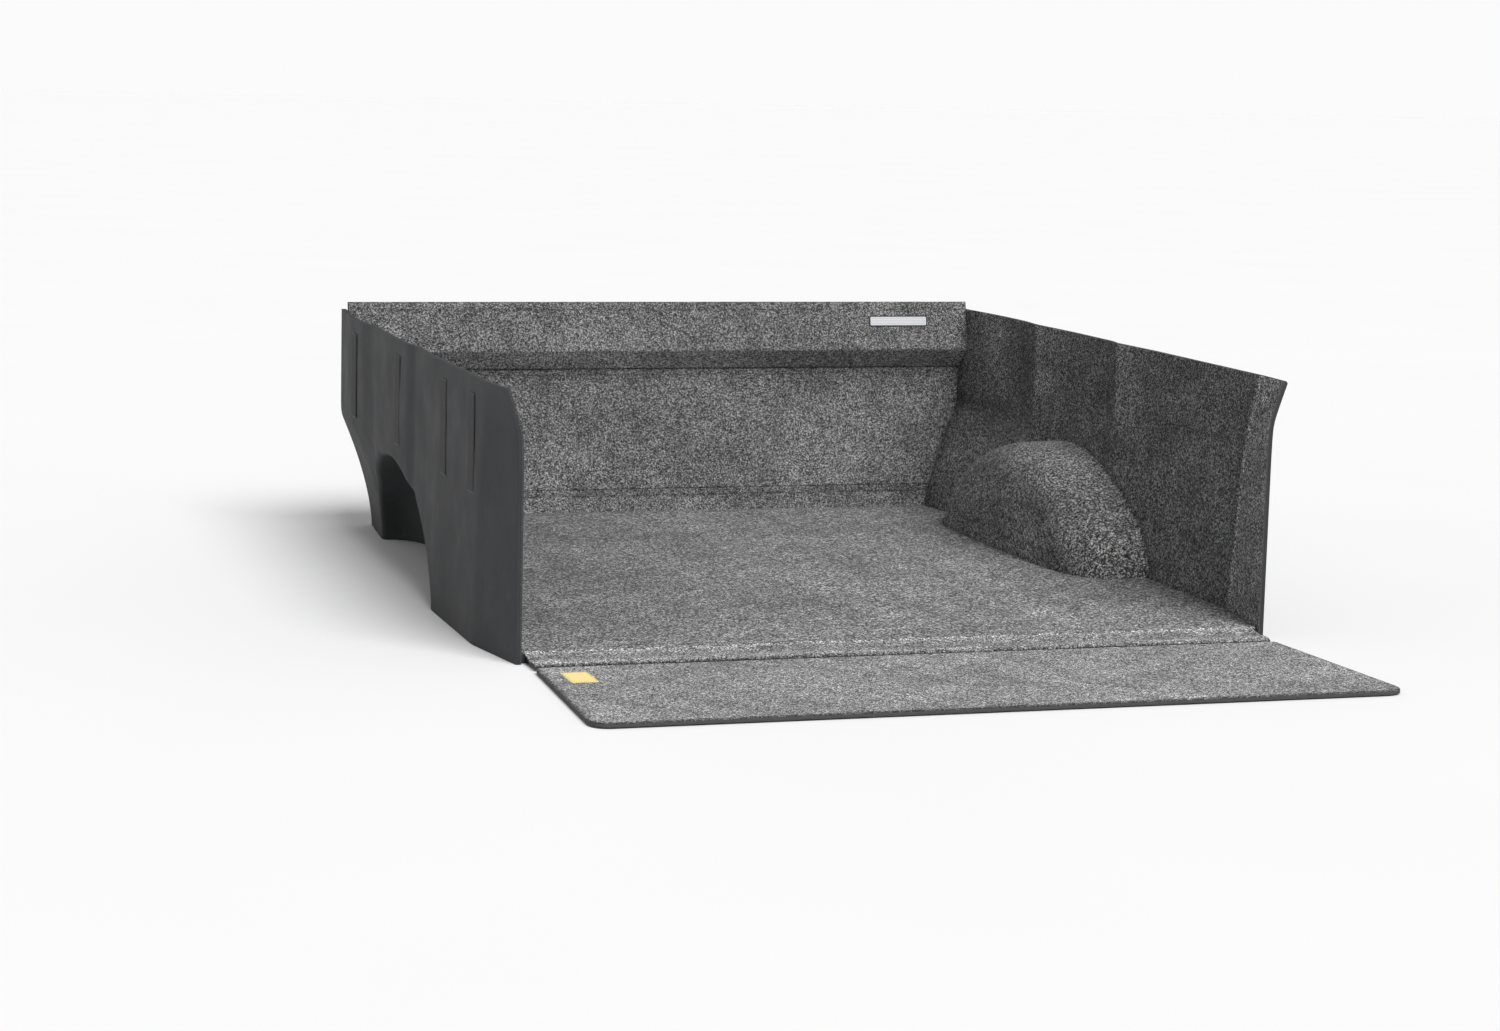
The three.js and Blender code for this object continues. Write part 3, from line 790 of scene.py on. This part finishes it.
def guard():
    """The crowned flap over the gap, its front edge against the floor's rear edge."""
    crown_y = [GUARD_REAR, -0.077, -0.067, -0.052, -0.032, -0.010, GUARD_FRONT]
    crown_z = [MAT_TOP, 0.0134, 0.0146, 0.0134, 0.0140, 0.0184, 0.0198]
    rows, across = GUARD_GRID
    floor_gap = 0.0004
    y = edged(GUARD_REAR, -floor_gap, rows)
    fine = np.linspace(GUARD_REAR, 0, 400)
    z = np.interp(y, fine, smoothed(np.interp(fine, crown_y, crown_z), 45))
    xx = columns(np.full(y.shape, GUARD_HALF), across)
    yy = per_column(y, xx)
    calm = ease(np.minimum(yy - GUARD_REAR, GUARD_FRONT - yy) / 0.02)
    waves = ripples(xx, yy, (0.20, 0.0020, 31), (0.07, 0.0010, 32)) * calm
    leftward = 0.3 + 0.7 * ease((0.3 - xx) / 0.8)
    waves = waves * (0.4 + 0.8 * leftward)
    wander = ripples(xx, 0 * yy, (0.16, 0.0040, 33), (0.05, 0.0014, 34)) * leftward
    yy = yy + wander * np.clip((GUARD_FRONT - yy) / (GUARD_FRONT - GUARD_REAR), 0, 1)
    roll = rolled(y[:, None] - GUARD_REAR + 0 * xx, 0.005, 0.0022)
    roll = roll + rolled(GUARD_HALF - np.abs(xx), 0.004, 0.0018)
    level = z[:, None] + waves
    top = np.stack([xx, yy, level - roll], -1)
    middle = np.stack([xx, yy, level - CARPET_THICK], -1)
    bottom = middle - (0, 0, GUARD_FOAM_THICK)
    # Painted light over the whole flap, which faces the light, painted highlights on its front brow, its
    # ridge and a wrinkle to the left, and painted shade in its valley and along the seam at the mat
    reach = y[:, None]
    ridge = bell(reach - GUARD_REAR - 0.013, 0.008)
    wrinkle_highlight = bell(yy + 0.045 + ripple(xx, 0 * yy, 0.5, 0.02, 36), 0.006) * ease(-xx / 0.3)
    valley = bell(reach + 0.034, 0.012)
    seam = bell(reach - GUARD_REAR, 0.0045)
    brow = bell(reach, 0.008)
    tone = 1.30 + 0.45 * brow + (0.42 * ridge - 0.22 * valley - 0.75 * seam) * (0.35 + 0.65 * leftward)
    tone = tone + 0.35 * wrinkle_highlight
    tone = tone * (1 + ripple(xx, yy, 0.08, 0.3, 35))
    carpet = shell("gap_guard_face", top, middle, [MAT_CARPET], 0.0004, tone=tone)
    foam = shell("gap_guard_core", middle - (0, 0, FACE_GAP), bottom, [FOAM], 0.001)
    for made, slot_name in ((carpet, "carpet"), (foam, "foam")):
        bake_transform(made)
        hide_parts(f"gap_guard_{slot_name}")


def mat_half_width(y):
    """Half the tailgate mat's width at y, with its four corners rounded."""
    full = np.interp(y, [MAT_REAR, MAT_FRONT], [MAT_HALF_REAR, MAT_HALF_FRONT])
    for edge, radius in ((y - MAT_REAR, MAT_CORNER), (MAT_FRONT - y, MAT_SHOULDER)):
        full = full - radius * (1 - np.sqrt(np.clip(edge / radius, 0, 1))) ** 2
    return full


def tailgate_mat():
    """The tailgate's carpet and foam. Its front edge is cut back underneath for the zip tape."""
    rows, across = MAT_GRID
    front_zone = 0.02
    rear = MAT_CORNER * np.linspace(0, 1, 24) ** 2
    front = front_zone * np.linspace(0, 1, 14) ** 2
    even = np.linspace(MAT_REAR + MAT_CORNER, MAT_FRONT - front_zone, rows)
    y = np.concatenate([MAT_REAR + rear[:-1], even, (MAT_FRONT - front[:-1])[::-1]])
    half = mat_half_width(y)
    x = columns(half, across)
    yy = per_column(y, x)
    slant = np.hypot(1, np.gradient(half, y))[:, None]
    beside = (half[:, None] - np.abs(x)) / slant
    rim = np.minimum.reduce([yy - MAT_REAR, MAT_FRONT - yy, beside])
    calm = ease(rim / 0.09)
    lift = ripples(x, yy, (0.36, 0.0014, 41), (0.12, 0.0006, 42)) * calm
    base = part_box("tailgate_foam")[0].z
    top = np.stack([x, yy, MAT_TOP - 0.0004 + lift - rolled(rim, 0.0060, 0.0024)], -1)
    middle = np.stack([x, yy, np.full(x.shape, MAT_TOP - CARPET_THICK)], -1)
    rabbet = np.where(yy > MAT_FRONT - 0.016, 0.0012, 0.0)
    bottom = np.stack([x, yy, base + rabbet], -1)
    # Painted light over the whole mat, a little more to the right, a dark sealed band round its outer edge
    # and painted shade along its front edge
    outer = np.minimum(yy - MAT_REAR, beside)
    tone = 1.40 + 0.06 * ease((x + 0.2) / 0.8) - 1.06 * bell(outer, 0.0060)
    tone = tone - 0.40 * bell(MAT_FRONT - yy, 0.004)
    tone = tone * (1 + ripples(x, yy, (0.09, 0.25, 43), (0.3, 0.2, 44)))
    carpet = shell("tailgate_face", top, middle, [MAT_CARPET, CARPET_EDGE], 0.0005, tone=tone)
    dress(carpet, "tailgate_mat", ["tailgate_carpet"])
    foam = shell("tailgate_core", middle - (0, 0, FACE_GAP), bottom, [FOAM, CARPET_EDGE], 0.0016, 3)
    dress(foam, "tailgate_mat", ["tailgate_foam"])


# ---------------------------------------------------------------- small pieces


def tube_faces(base, sides, rings):
    """Faces of a closed tube whose rings of points follow one another from number base."""
    faces = []
    for here in range(base, base + (rings - 1) * sides, sides):
        there = here + sides
        for i in range(sides):
            following = (i + 1) % sides
            faces.append([here + i, here + following, there + following, there + i])
    last = base + (rings - 1) * sides
    faces.append([base + i for i in reversed(range(sides))])
    faces.append([last + i for i in range(sides)])
    return faces


def stitches(name, runs, length, gap, thick, material, body):
    """Short threads, pulled into the cloth at both ends, along each run (start, end, up)."""
    points, faces = [], []
    sides, rings = 6, 7
    ring = np.linspace(0, 2 * math.pi, sides + 1)[:-1]
    for start, end, up in runs:
        start, end, up = (np.array(v, float) for v in (start, end, up))
        reach = np.linalg.norm(end - start)
        ahead = (end - start) / reach
        side = np.cross(ahead, up)
        count = int(reach // (length + gap))
        for k in range(count):
            origin = start + ahead * (k + 0.5) * reach / count
            base = len(points)
            for part in np.linspace(-1, 1, rings):
                lift = thick * 0.55 * (1 - part**2) - thick * 0.25
                swell = thick / 2 * (1 - 0.55 * part**6)
                middle = origin + ahead * part * length / 2 + up * lift
                points += [middle + swell * (math.cos(a) * side + math.sin(a) * up) for a in ring]
            faces += tube_faces(base, sides, rings)
    made = piece(name, points, faces, [material])
    return dress(made, body)


def bed_box(node):
    """A node's box in the bed's datum."""
    low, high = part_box(node)
    shift = Vector((0, DATUM, 0))
    return low - shift, high - shift


def patch(name, node, material, corner, crown, body, turn=None, rim=None):
    """A thin rounded plate that fills a node's box: a stitched label, a tag or a hook strip.
    crown is how far the middle stands over the edges, as a share of the thickness. turn gives the
    size and lean of a plate that lies askew in its box, and rim a material for its border."""
    low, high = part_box(node)
    size = high - low
    centre = (low + high) / 2 - Vector((0, DATUM, 0))
    thin = min(range(3), key=lambda i: size[i]) if turn is None else 1
    wide, tall = [i for i in range(3) if i != thin]
    if turn is not None:
        size = Vector(turn["size"])
    half_w, half_t, thick = size[wide] / 2, size[tall] / 2, size[thin]
    outline = []
    for cx, cy, start in ((1, 1, 0), (-1, 1, 90), (-1, -1, 180), (1, -1, 270)):
        for a in np.radians(np.linspace(start, start + 90, 6)):
            across = cx * (half_w - corner) + corner * math.cos(a)
            outline.append((across, cy * (half_t - corner) + corner * math.sin(a)))
    outline = np.array(outline)
    count = len(outline)
    rings = []
    brim = 0.5 - crown
    insets_mm = (0.0, 0.0, 0.25, 2.2, 2.9, 6)
    levels = (-0.5, brim - 0.08, brim, brim, 0.5, 0.5)
    for inset_mm, level in zip(insets_mm, levels):
        inset = outline * (1 - inset_mm * 0.001 / np.array([half_w, half_t]))
        rings.append(np.column_stack([inset, np.full(count, level * thick)]))
    flat = np.concatenate(rings + [np.array([[0, 0, 0.5 * thick], [0, 0, -0.5 * thick]])])
    faces = []
    for r in range(len(rings) - 1):
        for i in range(count):
            j = (i + 1) % count
            faces.append([r * count + i, r * count + j, (r + 1) * count + j, (r + 1) * count + i])
    last = (len(rings) - 1) * count
    for i in range(count):
        j = (i + 1) % count
        faces.append([last + i, last + j, len(flat) - 2])
        faces.append([j, i, len(flat) - 1])
    outward = {0: np.sign(centre[0]), 1: 1 if turn is None else -1, 2: 1}[thin]
    points = np.zeros_like(flat)
    points[:, wide], points[:, tall], points[:, thin] = flat[:, 0], flat[:, 1], flat[:, 2] * outward
    if turn is not None:
        spin = Matrix.Rotation(turn["angle"], 3, "X")
        points = np.array([spin @ Vector(p) for p in points])
    indices = [int(rim is not None and i < 3 * count) for i in range(len(faces))]
    coats = [material] if rim is None else [material, rim]
    made = piece(name, points + np.array(centre), faces, coats, smooth=False, indices=indices)
    close_up(made)
    return dress(made, body, [node])


def hook_strips():
    """Hook tape in place of each plain strip on the backs of the panels."""
    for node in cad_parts:
        if "hook_strip" not in node:
            continue
        body = "tailgate_mat" if node.startswith("tailgate") else "liner"
        patch(node.replace("hook_strip", "hook_tape"), node, HOOK, 0.004, 0.45, body)


def badge():
    """A plain sewn label that leans with the headboard's lip, and the thread round it."""
    lean = math.atan2(HEAD_LIP_TOP_Y - HEAD_LIP_Y, HEAD_TOP - BEVEL_Z)
    turn = {"size": (0.150, 0.0015, 0.026), "angle": -lean}
    patch("badge_label", "badge", LABEL, 0.004, 0.3, "liner", turn, BADGE_EDGE)
    low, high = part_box("badge")
    centre = np.array((low + high) / 2) - (0, DATUM, 0)
    up = np.array([0, -math.cos(lean), math.sin(lean)])
    rise = np.array([0, math.sin(lean), math.cos(lean)])
    seam_half_width, seam_half_height, face_depth = 0.0728, 0.0108, 0.00075
    corners = [
        centre + up * face_depth + np.array([sx * seam_half_width, 0, 0]) + rise * sz * seam_half_height
        for sx, sz in ((-1, -1), (1, -1), (1, 1), (-1, 1))
    ]
    runs = [(corners[i], corners[(i + 1) % 4], up) for i in range(4)]
    stitches("badge_stitching", runs, 0.0024, 0.0010, 0.0007, BADGE_THREAD, "liner")


def care_tag():
    """A blank cloth tag and the thread round it."""
    patch("care_tag_cloth", "care_tag", TAG, 0.002, 0.2, "tailgate_mat")
    low, high = bed_box("care_tag")
    inset, z, up = 0.003, high.z, (0, 0, 1)
    x0, x1, y0, y1 = low.x + inset, high.x - inset, low.y + inset, high.y - inset
    corners = [(x0, y0, z), (x1, y0, z), (x1, y1, z), (x0, y1, z)]
    runs = [(corners[i], corners[(i + 1) % 4], up) for i in range(4)]
    stitches("care_tag_stitching", runs, 0.0030, 0.0012, 0.0007, TAG_THREAD, "tailgate_mat")


def zip_teeth(node, name, sign):
    """A row of moulded teeth: each a waisted block with a swollen head at the middle of the zip."""
    low, high = bed_box(node)
    pitch = 0.0032
    count = int((high.x - low.x) // pitch)
    inner = low.y if sign > 0 else high.y
    outer = high.y if sign > 0 else low.y
    width = pitch * 0.44
    depth = outer - inner
    # Each section of a tooth from root to head: its place across the zip and its half width
    sections = [(outer, 0.50), (inner + depth * 0.45, 0.50), (inner + depth * 0.2, 0.34)]
    sections += [(inner, 0.50), (inner - sign * 0.0002, 0.42)]
    bottom, top = low.z, high.z
    points, faces = [], []
    for k in range(count):
        x = low.x + (k + 0.5 + 0.25 * sign) * pitch
        base = len(points)
        for at, half in sections:
            w = width * half
            points += [(x - w, at, bottom), (x + w, at, bottom), (x + w, at, top), (x - w, at, top)]
        faces += tube_faces(base, 4, len(sections))
    made = piece(name, points, faces, [TEETH], smooth=False)
    close_up(made)
    return dress(made, "tailgate_mat", [node])


def zip_tape(node, name, body, extra_front=0.0):
    """A thin woven tape, with its front edge carried on by extra_front towards the teeth."""
    low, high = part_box(node)
    x = np.linspace(low.x, high.x, 150)
    y = np.linspace(low.y - DATUM, high.y - DATUM + extra_front, 12)
    xx, yy = np.meshgrid(x, y)
    wave = ripple(xx, yy, 0.05, 0.00015, 51)
    level = (low.z + high.z) / 2
    top = np.stack([xx, yy, level + 0.0004 + wave], -1)
    bottom = np.stack([xx, yy, level - 0.0004 + wave], -1)
    made = shell(name, top, bottom, [TAPE], 0.0002, 1)
    return dress(made, body, [node])


def cast(node, name, body, radius):
    """The node's own shape with its edges rounded, in plated metal."""
    made = bpy.data.objects.new(name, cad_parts[node].data.copy())
    bpy.context.scene.collection.objects.link(made)
    made.data.materials.clear()
    made.data.materials.append(ZIP_METAL)
    mesh = bmesh.new()
    mesh.from_mesh(made.data)
    bmesh.ops.remove_doubles(mesh, verts=mesh.verts, dist=1e-6)
    bmesh.ops.dissolve_limit(mesh, angle_limit=0.02, verts=mesh.verts, edges=mesh.edges)
    mesh.to_mesh(made.data)
    mesh.free()
    round_edges(made, radius, 3, 30)
    return dress(made, body, [node])


def zip_hardware():
    """The zip between the guard and the tailgate mat, with its slider and pull."""
    zip_teeth("zip_teeth_front", "zip_row_front", 1)
    zip_teeth("zip_teeth_rear", "zip_row_rear", -1)
    zip_tape("zip_tape_rear", "zip_tape_mat_side", "tailgate_mat", 0.0004)
    zip_tape("zip_tape_front", "zip_tape_guard_side", "gap_guard")
    cast("zip_stop_left", "zip_end_left", "tailgate_mat", 0.0004)
    cast("zip_stop_right", "zip_end_right", "tailgate_mat", 0.0004)
    cast("zip_slider", "slider_body", "slider", 0.0004)
    cast("zip_pull", "pull_tab", "pull", 0.0003)


# ---------------------------------------------------------------- scene


def camera_at_viewpoint():
    """The photo's viewpoint: behind the bed, to its left and just above its sides."""
    azimuth, elevation, roll = (math.radians(v) for v in (-17.41, 7.52, 1.39))
    flat = math.cos(elevation)
    back = Vector((math.sin(azimuth) * flat, -math.cos(azimuth) * flat, math.sin(elevation)))
    level = Vector((math.cos(azimuth), math.sin(azimuth), 0))
    upright = back.cross(level)
    right = level * math.cos(roll) + upright * math.sin(roll)
    up = upright * math.cos(roll) - level * math.sin(roll)
    data = bpy.data.cameras.new("camera")
    data.lens = 75.16
    data.sensor_width = 36.0
    data.shift_x = 0.0153
    data.shift_y = -0.0330
    data.clip_end = 100
    camera = bpy.data.objects.new("camera", data)
    bpy.context.scene.collection.objects.link(camera)
    turn = Matrix((right, up, back)).transposed().to_4x4()
    place = Vector((-2.096, -5.539 + DATUM, 1.128))
    camera.matrix_world = Matrix.Translation(place) @ turn
    bpy.context.scene.camera = camera


def studio():
    """A pale floor, a white horizon that greys overhead and one soft key light."""
    material, tree, shader = node_tree("studio_floor")
    n = Nodes(tree)
    tone = n.ramp(n.noise(1.2, 1.0).outputs["Fac"], [(0.3, 0.815), (0.7, 0.825)])
    n.link(tone, shader.inputs["Base Color"])
    shader.inputs["Roughness"].default_value = 0.9
    mesh = bpy.data.meshes.new("studio_floor")
    reach, level = 60, -0.0005
    mesh.from_pydata(
        [(-reach, -reach, level), (reach, -reach, level), (reach, reach, level), (-reach, reach, level)],
        [],
        [(0, 1, 2, 3)],
    )
    mesh.materials.append(material)
    ground = bpy.data.objects.new("studio_floor", mesh)
    bpy.context.scene.collection.objects.link(ground)

    world = bpy.data.worlds.new("studio")
    world.use_nodes = True
    tree = world.node_tree
    split = tree.nodes.new("ShaderNodeSeparateXYZ")
    tree.links.new(tree.nodes.new("ShaderNodeTexCoord").outputs["Generated"], split.inputs[0])
    n = Nodes(tree)
    sky = n.ramp(split.outputs["Z"], [(0.0, 0.965), (0.16, 0.94), (0.34, 0.36), (1.0, 0.36)])
    tree.links.new(sky, tree.nodes["Background"].inputs["Color"])
    bpy.context.scene.world = world
    bpy.context.scene.view_settings.view_transform = "Standard"

    data = bpy.data.lights.new("key", "SUN")
    data.energy = 3.25
    data.angle = math.radians(38)
    key = bpy.data.objects.new("key", data)
    towards_key = Vector((0.16, -0.62, 0.78))
    key.rotation_euler = towards_key.to_track_quat("Z", "Y").to_euler()
    bpy.context.scene.collection.objects.link(key)


camera_at_viewpoint()
studio()
side_panels()
floor_mat()
headboard()
guard()
tailgate_mat()
hook_strips()
badge()
care_tag()
zip_hardware()
